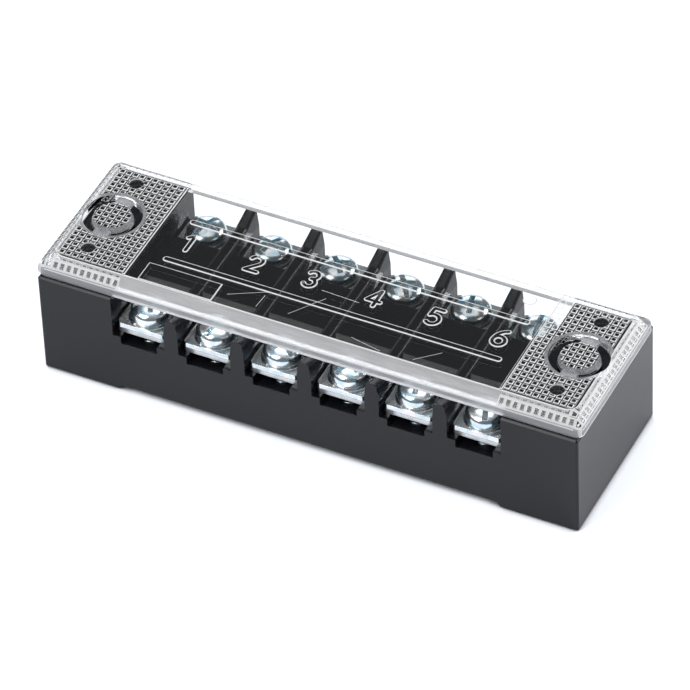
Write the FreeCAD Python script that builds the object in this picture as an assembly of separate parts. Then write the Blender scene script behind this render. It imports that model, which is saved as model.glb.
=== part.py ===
# Six-pole barrier terminal strip with a clear lift-off cover, in millimetres.
# X runs along the poles, Y from the front row to the rear row, and Z up.
# The origin is the centre of the footprint, at the level of the feet.

import FreeCAD, Part

import os

from FreeCAD import Vector

# Poles
POLE_COUNT = 6
PITCH = 11.35
ROW_INSET = 4.6

# Base moulding, with heights inside it measured down from its top
BASE_WIDTH = 28.2
BASE_HEIGHT = 18.8
BASE_CORNER_RADIUS = 0.4
BASE_TOP_BEVEL = 0.3
BASE_FOOT_BEVEL = 0.35
END_BLOCK_LENGTH = 12.65
UNDERSIDE_LIFT = 1.1
FOOT_RAMP = 1.0
POCKET_LENGTH = 8.6
POCKET_DEPTH = 7.45
LEDGE_WIDTH = 1.35
SLOT_DEPTH = 1.35
SLOT_END_WALL = 0.9
DECK_DROP = 2.7
DECK_BEVEL = 0.6

# Barriers between the poles
BARRIER_THICKNESS = 2.4
BARRIER_TIP_THICKNESS = 1.7
BARRIER_TIP_DROP = 1.0
BARRIER_SLOPE_DROP = 1.3
BARRIER_SLOPE_LENGTH = 3.65
BARRIER_TAPER_HEIGHT = 3.2
BARRIER_TOP_RADIUS = 0.7

# Conductor strips
STRIP_THICKNESS = 1.15
STRIP_SIDE_CLEARANCE = 0.2
STRIP_SETBACK = 1.3
STRIP_CORNER_RADIUS = 0.5
TUNNEL_CLEARANCE = 0.15

# Clamp screws
SCREW_RADIUS = 1.96
SCREW_LENGTH = 7.2
SCREW_TIP_CHAMFER = 0.5
THREAD_CLEARANCE = 0.05
WELL_SIDE_CLEARANCE = 0.6
WELL_END_CLEARANCE = 1.6
HEAD_RADIUS = 3.2
HEAD_HEIGHT = 2.3
HEAD_EDGE_HEIGHT = 1.0
HEAD_TOP_RADIUS = 1.9
SLOT_WIDTH = 0.9
SLOT_CUT_DEPTH = 1.0
CROSS_SPAN = 3.8
CROSS_CUT_DEPTH = 1.5

# Clamp plates
CLAMP_THICKNESS = 0.9
CLAMP_SIDE_CLEARANCE = 0.35
CLAMP_WALL_CLEARANCE = 0.4
CLAMP_HOLE_CLEARANCE = 0.09
CLAMP_CORNER_CUT = 0.5
BOSS_HEIGHT = 0.35
BOSS_MARGIN = 0.3
BOSS_TAPER = 0.3
SERRATION_COUNT = 3
SERRATION_DEPTH = 0.2
SERRATION_PITCH = 1.4

# Mounting holes in the end blocks
MOUNT_HOLE_INSET = 6.0
MOUNT_HOLE_RADIUS = 2.2
COUNTERBORE_RADIUS = 3.5
COUNTERBORE_DEPTH = 10.0

# Clear cover
COVER_END_OVERHANG = 0.35
COVER_SIDE_INSET = 0.6
COVER_RIM_HEIGHT = 1.7
COVER_BEVEL_RUN = 2.0
COVER_BEVEL_RISE = 1.6
COVER_WALL = 1.2
COVER_CORNER_RADIUS = 1.3
PAD_LENGTH = 12.0
PAD_RAISE = 0.2
PLUG_CLEARANCE = 0.08
PLUG_REACH = 4.5
PLUG_WALL = 1.1
PLUG_SPLIT = 1.6
PAD_HOLE_RADIUS = 4.75
BRIDGE_WIDTH = 2.6
SPOT_RADIUS = 1.15
SPOT_DEPTH = 0.15
SPOT_OFFSET = 8.1

# Places that follow from the sizes above
POCKET_WIDTH = PITCH - BARRIER_THICKNESS
ROW_LENGTH = POLE_COUNT * PITCH - BARRIER_THICKNESS
BASE_LENGTH = ROW_LENGTH + 2 * END_BLOCK_LENGTH
HALF_WIDTH = BASE_WIDTH / 2
HALF_LENGTH = BASE_LENGTH / 2
HALF_ROW = ROW_LENGTH / 2
ROW_Y = HALF_WIDTH - ROW_INSET
DECK_HALF_WIDTH = HALF_WIDTH - POCKET_LENGTH
LEDGE_Z = BASE_HEIGHT - POCKET_DEPTH
DECK_Z = BASE_HEIGHT - DECK_DROP
BARRIER_TIP_Z = BASE_HEIGHT - BARRIER_TIP_DROP
BARRIER_BACK_Z = BARRIER_TIP_Z - BARRIER_SLOPE_DROP
STRIP_WIDTH = POCKET_WIDTH - 2 * STRIP_SIDE_CLEARANCE
STRIP_TOP_Z = LEDGE_Z + STRIP_THICKNESS
CLAMP_WIDTH = POCKET_WIDTH - 2 * CLAMP_SIDE_CLEARANCE
CLAMP_DEPTH = 2 * (POCKET_LENGTH - ROW_INSET - CLAMP_WALL_CLEARANCE)
CLAMP_TOP_Z = STRIP_TOP_Z + CLAMP_THICKNESS
SEAT_Z = CLAMP_TOP_Z + BOSS_HEIGHT
SCREW_TIP_Z = SEAT_Z - SCREW_LENGTH
WELL_RADIUS = SCREW_RADIUS + WELL_SIDE_CLEARANCE
WELL_FLOOR_Z = SCREW_TIP_Z - WELL_END_CLEARANCE
MOUNT_X = HALF_LENGTH - MOUNT_HOLE_INSET
PLUG_RADIUS = COUNTERBORE_RADIUS - PLUG_CLEARANCE
COVER_LENGTH = BASE_LENGTH + 2 * COVER_END_OVERHANG
COVER_WIDTH = BASE_WIDTH - 2 * COVER_SIDE_INSET
COVER_TOP_Z = BASE_HEIGHT + COVER_RIM_HEIGHT + COVER_BEVEL_RISE
PANEL_UNDERSIDE_Z = COVER_TOP_Z - COVER_WALL
PAD_TOP_Z = COVER_TOP_Z + PAD_RAISE

# Extra length of a cutting tool past the face that it cuts
PAST = 1.0

UP = Vector(0, 0, 1)
SIDES = {"front": -1, "rear": 1}


def box(x0, x1, y0, y1, z0, z1):
    """Block between two corners, given in any order along each axis."""
    low = Vector(min(x0, x1), min(y0, y1), min(z0, z1))
    return Part.makeBox(abs(x1 - x0), abs(y1 - y0), abs(z1 - z0), low)


def centred_box(length, width, z0, z1):
    """Block centred on the origin in plan."""
    return box(-length / 2, length / 2, -width / 2, width / 2, z0, z1)


def cylinder(radius, x, y, z0, z1):
    """Upright cylinder."""
    return Part.makeCylinder(radius, z1 - z0, Vector(x, y, z0), UP)


def prism(points, direction):
    """Solid swept from a closed polygon along a vector."""
    outline = Part.makePolygon(points + points[:1])
    return Part.Face(outline).extrude(direction)


def upright_edges(solid):
    """Edges that run along Z."""
    return [e for e in solid.Edges if abs(abs(e.tangentAt(e.FirstParameter).z) - 1) < 1e-6]


def edges_at(solid, z):
    """Edges that lie whole at one height."""
    return [e for e in solid.Edges if abs(e.BoundBox.ZMin - z) < 1e-6 and abs(e.BoundBox.ZMax - z) < 1e-6]


def pole_x(pole):
    """Centre of a pole, counted from 1 at the left."""
    return (pole - (POLE_COUNT + 1) / 2) * PITCH


def barrier_x(barrier):
    """Centre of a barrier, counted from 1 at the left."""
    return (pole_x(barrier) + pole_x(barrier + 1)) / 2


def barrier_fin(x):
    """One barrier, front to rear: tapered sides, tips that rise to the outer faces, rounded top."""
    foot = BARRIER_THICKNESS / 2
    tip = BARRIER_TIP_THICKNESS / 2
    taper_z = BARRIER_TIP_Z - BARRIER_TAPER_HEIGHT
    section = [
        Vector(x - foot, -HALF_WIDTH, LEDGE_Z - SLOT_DEPTH),
        Vector(x - foot, -HALF_WIDTH, taper_z),
        Vector(x - tip, -HALF_WIDTH, BARRIER_TIP_Z),
        Vector(x + tip, -HALF_WIDTH, BARRIER_TIP_Z),
        Vector(x + foot, -HALF_WIDTH, taper_z),
        Vector(x + foot, -HALF_WIDTH, LEDGE_Z - SLOT_DEPTH),
    ]
    fin = prism(section, Vector(0, BASE_WIDTH, 0))
    slope_end = HALF_WIDTH - BARRIER_SLOPE_LENGTH
    hollow = [
        Vector(x - foot - PAST, -HALF_WIDTH, BARRIER_TIP_Z),
        Vector(x - foot - PAST, -slope_end, BARRIER_BACK_Z),
        Vector(x - foot - PAST, slope_end, BARRIER_BACK_Z),
        Vector(x - foot - PAST, HALF_WIDTH, BARRIER_TIP_Z),
    ]
    fin = fin.cut(prism(hollow, Vector(BARRIER_THICKNESS + 2 * PAST, 0, 0)))
    top_edges = []
    for edge in fin.Edges:
        along = edge.tangentAt(edge.FirstParameter)
        if abs(along.x) < 0.5 and abs(along.y) > 0.5 and edge.BoundBox.ZMin > BARRIER_BACK_Z - 1e-6:
            top_edges.append(edge)
    return fin.makeFillet(BARRIER_TOP_RADIUS, top_edges)


def deck_block():
    """Centre deck over the strips, with bevelled long edges."""
    deck = centred_box(ROW_LENGTH, 2 * DECK_HALF_WIDTH, LEDGE_Z, DECK_Z)
    long_edges = [e for e in edges_at(deck, DECK_Z) if e.BoundBox.XLength > POCKET_WIDTH]
    return deck.makeChamfer(DECK_BEVEL, long_edges)


def underside_channel():
    """Space under the middle of the base, with a ramp at each foot."""
    points = [
        Vector(-HALF_ROW, -HALF_WIDTH - PAST, 0),
        Vector(-HALF_ROW + FOOT_RAMP, -HALF_WIDTH - PAST, UNDERSIDE_LIFT),
        Vector(HALF_ROW - FOOT_RAMP, -HALF_WIDTH - PAST, UNDERSIDE_LIFT),
        Vector(HALF_ROW, -HALF_WIDTH - PAST, 0),
    ]
    return prism(points, Vector(0, BASE_WIDTH + 2 * PAST, 0))


def strip_tunnel(x):
    """Passage under the deck that a conductor strip slides through."""
    half = POCKET_WIDTH / 2
    return box(x - half, x + half, -DECK_HALF_WIDTH - PAST, DECK_HALF_WIDTH + PAST,
               LEDGE_Z, STRIP_TOP_Z + TUNNEL_CLEARANCE)


def pocket_floor_cuts(x, side):
    """Slot between the ledges, open at the outer face, and the well for the screw's end."""
    half = POCKET_WIDTH / 2 - LEDGE_WIDTH
    inner_y = side * (DECK_HALF_WIDTH + SLOT_END_WALL)
    slot = box(x - half, x + half, inner_y, side * (HALF_WIDTH + PAST), LEDGE_Z - SLOT_DEPTH, LEDGE_Z + PAST)
    well = cylinder(WELL_RADIUS, x, side * ROW_Y, WELL_FLOOR_Z, LEDGE_Z)
    return [slot, well]


def mounting_hole(x):
    """Counterbored screw hole through an end block."""
    hole = cylinder(MOUNT_HOLE_RADIUS, x, 0, -PAST, BASE_HEIGHT)
    seat = cylinder(COUNTERBORE_RADIUS, x, 0, BASE_HEIGHT - COUNTERBORE_DEPTH, BASE_HEIGHT + PAST)
    return hole.fuse(seat)


def make_base():
    """Black moulding that carries everything else."""
    block = centred_box(BASE_LENGTH, BASE_WIDTH, 0, BASE_HEIGHT)
    block = block.makeFillet(BASE_CORNER_RADIUS, upright_edges(block))
    block = block.makeChamfer(BASE_TOP_BEVEL, edges_at(block, BASE_HEIGHT))
    block = block.makeChamfer(BASE_FOOT_BEVEL, edges_at(block, 0))
    base = block.cut(centred_box(ROW_LENGTH, BASE_WIDTH + 2 * PAST, LEDGE_Z, BASE_HEIGHT + PAST))
    fins = [barrier_fin(barrier_x(barrier)) for barrier in range(1, POLE_COUNT)]
    base = base.fuse([deck_block()] + fins)
    cuts = [underside_channel(), mounting_hole(-MOUNT_X), mounting_hole(MOUNT_X)]
    for pole in range(1, POLE_COUNT + 1):
        cuts.append(strip_tunnel(pole_x(pole)))
        for side in SIDES.values():
            cuts += pocket_floor_cuts(pole_x(pole), side)
    return base.cut(cuts).removeSplitter()


def make_strip(x):
    """Flat conductor with a tapped hole for each of its two screws."""
    half_length = HALF_WIDTH - STRIP_SETBACK
    half_width = STRIP_WIDTH / 2
    strip = box(x - half_width, x + half_width, -half_length, half_length, LEDGE_Z, STRIP_TOP_Z)
    strip = strip.makeFillet(STRIP_CORNER_RADIUS, upright_edges(strip))
    for side in SIDES.values():
        strip = strip.cut(cylinder(SCREW_RADIUS + THREAD_CLEARANCE, x, side * ROW_Y, LEDGE_Z, STRIP_TOP_Z))
    return strip


def make_clamp(x, y):
    """Square pressure plate with a coned seat for the head and a serrated underside."""
    plate = box(x - CLAMP_WIDTH / 2, x + CLAMP_WIDTH / 2, y - CLAMP_DEPTH / 2, y + CLAMP_DEPTH / 2,
                STRIP_TOP_Z, CLAMP_TOP_Z)
    plate = plate.makeChamfer(CLAMP_CORNER_CUT, upright_edges(plate))
    seat_radius = HEAD_RADIUS + BOSS_MARGIN
    boss = Part.makeCone(seat_radius, seat_radius - BOSS_TAPER, BOSS_HEIGHT, Vector(x, y, CLAMP_TOP_Z), UP)
    plate = plate.fuse(boss)
    grooves = []
    for groove in range(SERRATION_COUNT):
        groove_y = y + (groove - (SERRATION_COUNT - 1) / 2) * SERRATION_PITCH
        points = [
            Vector(x - CLAMP_WIDTH, groove_y - SERRATION_DEPTH, STRIP_TOP_Z),
            Vector(x - CLAMP_WIDTH, groove_y, STRIP_TOP_Z + SERRATION_DEPTH),
            Vector(x - CLAMP_WIDTH, groove_y + SERRATION_DEPTH, STRIP_TOP_Z),
        ]
        grooves.append(prism(points, Vector(2 * CLAMP_WIDTH, 0, 0)))
    hole = cylinder(SCREW_RADIUS + CLAMP_HOLE_CLEARANCE, x, y, STRIP_TOP_Z, SEAT_Z)
    return plate.cut(grooves + [hole]).removeSplitter()


def make_screw(x, y):
    """Pan-head screw, turned as one profile, with a slot and a cross recess."""
    edge_z = SEAT_Z + HEAD_EDGE_HEIGHT
    top_z = SEAT_Z + HEAD_HEIGHT
    bulge = Vector((HEAD_RADIUS + HEAD_TOP_RADIUS) / 2 + (HEAD_HEIGHT - HEAD_EDGE_HEIGHT) / 4, 0,
                   (edge_z + top_z) / 2 + (HEAD_RADIUS - HEAD_TOP_RADIUS) / 4)
    tip_radius = SCREW_RADIUS - SCREW_TIP_CHAMFER
    lower = [
        Vector(0, 0, top_z),
        Vector(0, 0, SCREW_TIP_Z),
        Vector(tip_radius, 0, SCREW_TIP_Z),
        Vector(SCREW_RADIUS, 0, SCREW_TIP_Z + SCREW_TIP_CHAMFER),
        Vector(SCREW_RADIUS, 0, SEAT_Z),
        Vector(HEAD_RADIUS, 0, SEAT_Z),
        Vector(HEAD_RADIUS, 0, edge_z),
    ]
    edges = [Part.makeLine(a, b) for a, b in zip(lower, lower[1:])]
    shoulder = Vector(HEAD_TOP_RADIUS, 0, top_z)
    edges.append(Part.Arc(lower[-1], bulge, shoulder).toShape())
    edges.append(Part.makeLine(shoulder, lower[0]))
    screw = Part.Face(Part.Wire(edges)).revolve(Vector(0, 0, 0), UP, 360)
    half = SLOT_WIDTH / 2
    slot = box(-HEAD_RADIUS - PAST, HEAD_RADIUS + PAST, -half, half, top_z - SLOT_CUT_DEPTH, top_z + PAST)
    cross_along = box(-CROSS_SPAN / 2, CROSS_SPAN / 2, -half, half, top_z - CROSS_CUT_DEPTH, top_z + PAST)
    cross_over = box(-half, half, -CROSS_SPAN / 2, CROSS_SPAN / 2, top_z - CROSS_CUT_DEPTH, top_z + PAST)
    screw = screw.cut([slot, cross_along, cross_over]).removeSplitter()
    screw.translate(Vector(x, y, 0))
    return screw


def bevelled_block(length, width, corner_radius, run, rise, z0, z1):
    """Block with rounded upright corners and a bevel all round its top, run wide and rise high."""
    block = centred_box(length, width, z0, z1)
    block = block.makeFillet(corner_radius, upright_edges(block))
    across = Vector(0, 1, 0)
    along = Vector(1, 0, 0)
    for half, other, axis, sweep in ((length / 2, width, along, across), (width / 2, length, across, along)):
        start = sweep * (-other / 2 - PAST)
        outline = [(-half, z0), (-half, z1 - rise), (-half + run, z1), (half - run, z1),
                   (half, z1 - rise), (half, z0)]
        points = [start + axis * reach + UP * z for reach, z in outline]
        block = block.common(prism(points, sweep * (other + 2 * PAST)))
    return block


def pad_slab(side):
    """Raised pad over an end block, inside the bevels of the cover."""
    outer_x = side * (COVER_LENGTH / 2 - COVER_BEVEL_RUN)
    half_width = COVER_WIDTH / 2 - COVER_BEVEL_RUN
    return box(outer_x - side * PAD_LENGTH, outer_x, -half_width, half_width, PANEL_UNDERSIDE_Z, PAD_TOP_Z)


def pad_cuts(x):
    """Two crescents that leave the plug on a pair of bridges, and two shallow round marks."""
    ring = cylinder(PAD_HOLE_RADIUS, x, 0, PANEL_UNDERSIDE_Z - PAST, PAD_TOP_Z + PAST)
    ring = ring.cut(cylinder(PLUG_RADIUS, x, 0, PANEL_UNDERSIDE_Z - PAST, PAD_TOP_Z + PAST))
    half = BRIDGE_WIDTH / 2
    bridges = box(x - half, x + half, -PAD_HOLE_RADIUS - PAST, PAD_HOLE_RADIUS + PAST,
                  PANEL_UNDERSIDE_Z - PAST, PAD_TOP_Z + PAST)
    cuts = [ring.cut(bridges)]
    for side in SIDES.values():
        cuts.append(cylinder(SPOT_RADIUS, x, side * SPOT_OFFSET, PAD_TOP_Z - SPOT_DEPTH, PAD_TOP_Z + PAST))
    return cuts


def plug(x):
    """Split tube under a pad that enters the counterbore of the base."""
    low_z = BASE_HEIGHT - PLUG_REACH
    tube = cylinder(PLUG_RADIUS, x, 0, low_z, PANEL_UNDERSIDE_Z)
    tube = tube.cut(cylinder(PLUG_RADIUS - PLUG_WALL, x, 0, low_z, PANEL_UNDERSIDE_Z))
    reach = PLUG_RADIUS + PAST
    return tube.cut(box(x - reach, x + reach, -PLUG_SPLIT / 2, PLUG_SPLIT / 2, low_z - PAST, BASE_HEIGHT))


def make_cover():
    """Clear moulding: rim and bevelled panel of even wall, two pads and two plugs."""
    cover = bevelled_block(COVER_LENGTH, COVER_WIDTH, COVER_CORNER_RADIUS, COVER_BEVEL_RUN, COVER_BEVEL_RISE,
                           BASE_HEIGHT, COVER_TOP_Z)
    inner = bevelled_block(COVER_LENGTH - 2 * COVER_WALL, COVER_WIDTH - 2 * COVER_WALL, COVER_CORNER_RADIUS / 2,
                           COVER_BEVEL_RUN / 2, COVER_BEVEL_RISE / 2, BASE_HEIGHT - PAST, PANEL_UNDERSIDE_Z)
    cover = cover.cut(inner).fuse([pad_slab(-1), pad_slab(1), plug(-MOUNT_X), plug(MOUNT_X)])
    return cover.cut(pad_cuts(-MOUNT_X) + pad_cuts(MOUNT_X)).removeSplitter()


def export(shape, node):
    """Write one piece to its own file."""
    shape.exportStep("parts/" + node + ".step")
    print(node, shape.isValid(), len(shape.Solids), round(shape.Volume, 3))


def main():
    os.makedirs("parts", exist_ok=True)
    export(make_base(), "base")
    export(make_cover(), "cover")
    for pole in range(1, POLE_COUNT + 1):
        x = pole_x(pole)
        export(make_strip(x), "strip_%d" % pole)
        for name, side in SIDES.items():
            export(make_clamp(x, side * ROW_Y), "%s_clamp_%d" % (name, pole))
            export(make_screw(x, side * ROW_Y), "%s_screw_%d" % (name, pole))


main()
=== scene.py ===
"""Looks of a six-pole barrier terminal strip with a clear lift-off cover.

Sizes in the classes are in millimetres, in the same frame as the solids. Each piece is built at
that size and brought to metres as its last step.
"""

import logging
import math
from dataclasses import dataclass
from enum import Enum

import bmesh
import bpy
from mathutils import Matrix, Vector


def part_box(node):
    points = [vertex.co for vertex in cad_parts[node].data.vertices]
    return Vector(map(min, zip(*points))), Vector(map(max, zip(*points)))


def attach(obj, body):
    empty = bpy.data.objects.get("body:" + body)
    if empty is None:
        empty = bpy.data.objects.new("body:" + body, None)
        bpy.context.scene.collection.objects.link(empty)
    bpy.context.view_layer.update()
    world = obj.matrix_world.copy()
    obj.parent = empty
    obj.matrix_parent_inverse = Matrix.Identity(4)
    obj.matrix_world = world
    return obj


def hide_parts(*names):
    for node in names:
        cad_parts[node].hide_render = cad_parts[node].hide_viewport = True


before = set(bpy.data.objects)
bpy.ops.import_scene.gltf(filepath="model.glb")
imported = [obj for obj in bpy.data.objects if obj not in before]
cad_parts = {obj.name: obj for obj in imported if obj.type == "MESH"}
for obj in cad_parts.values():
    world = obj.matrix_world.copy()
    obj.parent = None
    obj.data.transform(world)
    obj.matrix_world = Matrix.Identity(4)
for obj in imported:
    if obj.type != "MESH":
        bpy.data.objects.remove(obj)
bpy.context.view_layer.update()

MILLIMETRE = 0.001
LOG = logging.getLogger("terminal_strip")

# Parts of a unit normal from which a face leans one way, and from which it is level.
LEANING = 0.3
LEVEL = 0.9
# Range of the upward part of the normals on a stroke's sloping edge.
SLOPING = (0.2, 0.95)
# Difference in millimetres below which two levels are the same.
NEAR = 0.01
# Distances in millimetres below which corners are merged, in a spun shape and in a finished piece.
MERGE = 0.0001
SEAM = 0.00001
# Flats round the end of a stroke, and degrees for each flat along a curved one.
END_FLATS = 32
ARC_STEP = 12.0

Plan = tuple[float, float]
Place = tuple[float, float, float]
Colour = tuple[float, float, float]


class Slot(Enum):
    """Material slot names of the record, listed here; no piece in this script is given them."""

    CLEAR = "clear_plastic"
    SCREW = "plated_screw"


class Face(Enum):
    """Kinds of surface on the cover, each with its own finish; three of them also carry painted light."""

    CLEAR = 0
    # Streaked scuffs, with a milky painted sheen, given only to faces toward the camera.
    SCUFFED = 1
    # Nearly opaque white: a painted highlight on edges, slopes and the rim's foot.
    LIT_EDGE = 2
    # Frosting with dark and white patches that are partly painted highlights, in the pads' wells.
    FROSTED = 3


class Row(Enum):
    """The two rows of terminals, with the direction in which each lies from the middle."""

    FRONT = ("front", -1)
    REAR = ("rear", 1)

    @property
    def label(self) -> str:
        """Word that starts the names of the row's nodes."""
        return self.value[0]

    @property
    def side(self) -> int:
        """Minus one in front of the middle, and one behind it."""
        return self.value[1]


def node_box(node: str) -> tuple[Vector, Vector]:
    """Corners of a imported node.

    Args:
        node: Name of the node.

    Returns:
        Its lowest and its highest corner, in millimetres.
    """
    low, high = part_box(node)
    return low / MILLIMETRE, high / MILLIMETRE


def faces_viewer(face: bmesh.types.BMFace) -> bool:
    """Whether a face leans to the front or to the right, toward the camera, where the cover gets its painted
    sheen and highlights.
    """
    return face.normal.y < -LEANING or face.normal.x > LEANING


def linked_object(name: str, bm: bmesh.types.BMesh) -> bpy.types.Object:
    """Turn a bmesh into an object of the scene.

    Args:
        name: Name of the object and its mesh.
        bm: Shape to store. It is freed here.

    Returns:
        The new object.
    """
    mesh = bpy.data.meshes.new(name)
    bm.to_mesh(mesh)
    bm.free()
    piece = bpy.data.objects.new(name, mesh)
    bpy.context.scene.collection.objects.link(piece)
    return piece


def discard(piece: bpy.types.Object) -> None:
    """Remove a helper object and its mesh."""
    mesh = piece.data
    bpy.data.objects.remove(piece)
    bpy.data.meshes.remove(mesh)


def combine(target: bpy.types.Object, tools: list[bpy.types.Object], operation: str) -> None:
    """Join tools to a solid or cut them out of it, and remove the tools.

    Args:
        target: Solid that is changed.
        tools: Closed solids that take part one after the other.
        operation: UNION, DIFFERENCE or INTERSECT.
    """
    for tool in tools:
        modifier = target.modifiers.new("combine", "BOOLEAN")
        modifier.operation = operation
        modifier.solver = "EXACT"
        modifier.object = tool
    graph = bpy.context.evaluated_depsgraph_get()
    result = bpy.data.meshes.new_from_object(target.evaluated_get(graph))
    target.modifiers.clear()
    old = target.data
    target.data = result
    bpy.data.meshes.remove(old)
    for tool in tools:
        discard(tool)


def settle(piece: bpy.types.Object, smooth_below: float = 30.0, flat_area: float = 20.0) -> None:
    """Close small seams, shade soft edges smooth and bring a piece to metres.

    Args:
        piece: Piece built in millimetres.
        smooth_below: Largest angle between faces, in degrees, that still shades smooth.
        flat_area: Area from which a face keeps its own flat shading.
    """
    bm = bmesh.new()
    bm.from_mesh(piece.data)
    bmesh.ops.remove_doubles(bm, verts=bm.verts, dist=SEAM)
    bmesh.ops.recalc_face_normals(bm, faces=bm.faces)
    limit = math.radians(smooth_below)
    for face in bm.faces:
        face.smooth = True
    for edge in bm.edges:
        small = all(face.calc_area() < flat_area for face in edge.link_faces)
        edge.smooth = small and edge.calc_face_angle(math.pi) < limit
    bmesh.ops.scale(bm, vec=(MILLIMETRE,) * 3, verts=bm.verts)
    bm.to_mesh(piece.data)
    bm.free()


def dress(piece: bpy.types.Object, material: bpy.types.Material) -> None:
    """Give a piece, new or packed, one material in every slot."""
    if not piece.data.materials:
        piece.data.materials.append(material)
    for slot in piece.material_slots:
        slot.material = material


def round_edges(
    bm: bmesh.types.BMesh, edges: list[bmesh.types.BMEdge], offset: float, segments: int
) -> list[bmesh.types.BMFace]:
    """Round some edges.

    Args:
        bm: Shape that the edges belong to.
        edges: Edges to round.
        offset: Width taken off each side of an edge.
        segments: Number of flats.

    Returns:
        The new faces.
    """
    made = bmesh.ops.bevel(
        bm,
        geom=edges,
        offset=offset,
        offset_type="OFFSET",
        affect="EDGES",
        segments=segments,
        profile=0.5,
        material=-1,
        clamp_overlap=True,
    )
    return made["faces"]


def block_mesh(low: Vector, high: Vector) -> bmesh.types.BMesh:
    """Block between two corners."""
    bm = bmesh.new()
    bmesh.ops.create_cube(bm, size=1.0)
    bmesh.ops.scale(bm, vec=high - low, verts=bm.verts)
    bmesh.ops.translate(bm, vec=(low + high) / 2, verts=bm.verts)
    return bm


def disc_solid(
    name: str,
    centre: Plan,
    radius: float,
    heights: Plan,
    segments: int = 36,
    top_radius: float | None = None,
) -> bpy.types.Object:
    """Upright cylinder, or a cone cut short.

    Args:
        name: Name of the object.
        centre: Place of its axis in plan.
        radius: Its radius.
        heights: Lowest and highest level.
        segments: Number of flats.
        top_radius: Radius at its highest level, where that differs.

    Returns:
        The solid as an object.
    """
    bm = bmesh.new()
    low, high = heights
    upper = top_radius or radius
    bmesh.ops.create_cone(
        bm, cap_ends=True, segments=segments, radius1=radius, radius2=upper, depth=high - low
    )
    bmesh.ops.translate(bm, vec=(centre[0], centre[1], (low + high) / 2), verts=bm.verts)
    return linked_object(name, bm)


def sector_solid(
    name: str, centre: Plan, radii: Plan, heights: Plan, start: float, sweep: float, step: float = 5.0
) -> bpy.types.Object:
    """Piece of a ring, spun round an upright axis.

    Args:
        name: Name of the object.
        centre: Place of the axis in plan.
        radii: Inner and outer radius.
        heights: Lowest and highest level.
        start: Direction of the first end, in degrees from X.
        sweep: Angle covered, in degrees, under a full turn.
        step: Angle of each flat, in degrees.

    Returns:
        The ring as an object.
    """
    bm = bmesh.new()
    direction = Vector((math.cos(math.radians(start)), math.sin(math.radians(start)), 0))
    axis = Vector((centre[0], centre[1], 0))
    (inner, outer), (low, high) = radii, heights
    places = [(inner, low), (outer, low), (outer, high), (inner, high)]
    profile = bm.faces.new([bm.verts.new(axis + direction * r + Vector((0, 0, z))) for r, z in places])
    bmesh.ops.spin(
        bm,
        geom=[profile] + list(profile.edges) + list(profile.verts),
        cent=axis,
        axis=(0, 0, 1),
        angle=math.radians(sweep),
        steps=round(sweep / step),
        use_merge=False,
        use_duplicate=False,
    )
    bmesh.ops.recalc_face_normals(bm, faces=bm.faces)
    return linked_object(name, bm)


@dataclass(frozen=True)
class ReliefSection:
    """Cross-section of a raised stroke: upright root, sloping edge and flat top."""

    half_width: float
    slope: float
    root_z: float
    foot_z: float
    top_z: float

    @property
    def levels(self) -> list[Plan]:
        """Half width at each level, from the root up."""
        return [
            (self.half_width, self.root_z),
            (self.half_width, self.foot_z),
            (self.half_width - self.slope, self.top_z),
        ]


def finish_stroke(name: str, bm: bmesh.types.BMesh) -> bpy.types.Object:
    """Turn a stroke outwards, give its sloping faces the painted highlight and store it."""
    bmesh.ops.recalc_face_normals(bm, faces=bm.faces)
    bm.normal_update()
    for face in bm.faces:
        if SLOPING[0] < face.normal.z < SLOPING[1]:
            face.material_index = Face.LIT_EDGE.value
    return linked_object(name, bm)


@dataclass(frozen=True)
class Line:
    """Straight stroke with round ends."""

    start: Plan
    end: Plan

    def solids(self, name: str, place: Plan, section: ReliefSection) -> list[bpy.types.Object]:
        """Build the stroke.

        Args:
            name: Name of the objects.
            place: Where the figure's middle lies in plan.
            section: Cross-section of the stroke.

        Returns:
            Closed solids that make up the stroke.
        """
        bm = bmesh.new()
        for end in (self.start, self.end):
            for radius, level in section.levels:
                ring = bmesh.ops.create_circle(bm, segments=END_FLATS, radius=radius)
                middle = (place[0] + end[0], place[1] + end[1], level)
                bmesh.ops.translate(bm, vec=middle, verts=ring["verts"])
        hull = bmesh.ops.convex_hull(bm, input=bm.verts)
        spare = hull["geom_interior"] + hull["geom_unused"]
        inner = dict.fromkeys(part for part in spare if isinstance(part, bmesh.types.BMVert))
        bmesh.ops.delete(bm, geom=list(inner), context="VERTS")
        bmesh.ops.dissolve_limit(bm, angle_limit=0.002, verts=bm.verts, edges=bm.edges)
        return [finish_stroke(name, bm)]


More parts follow.
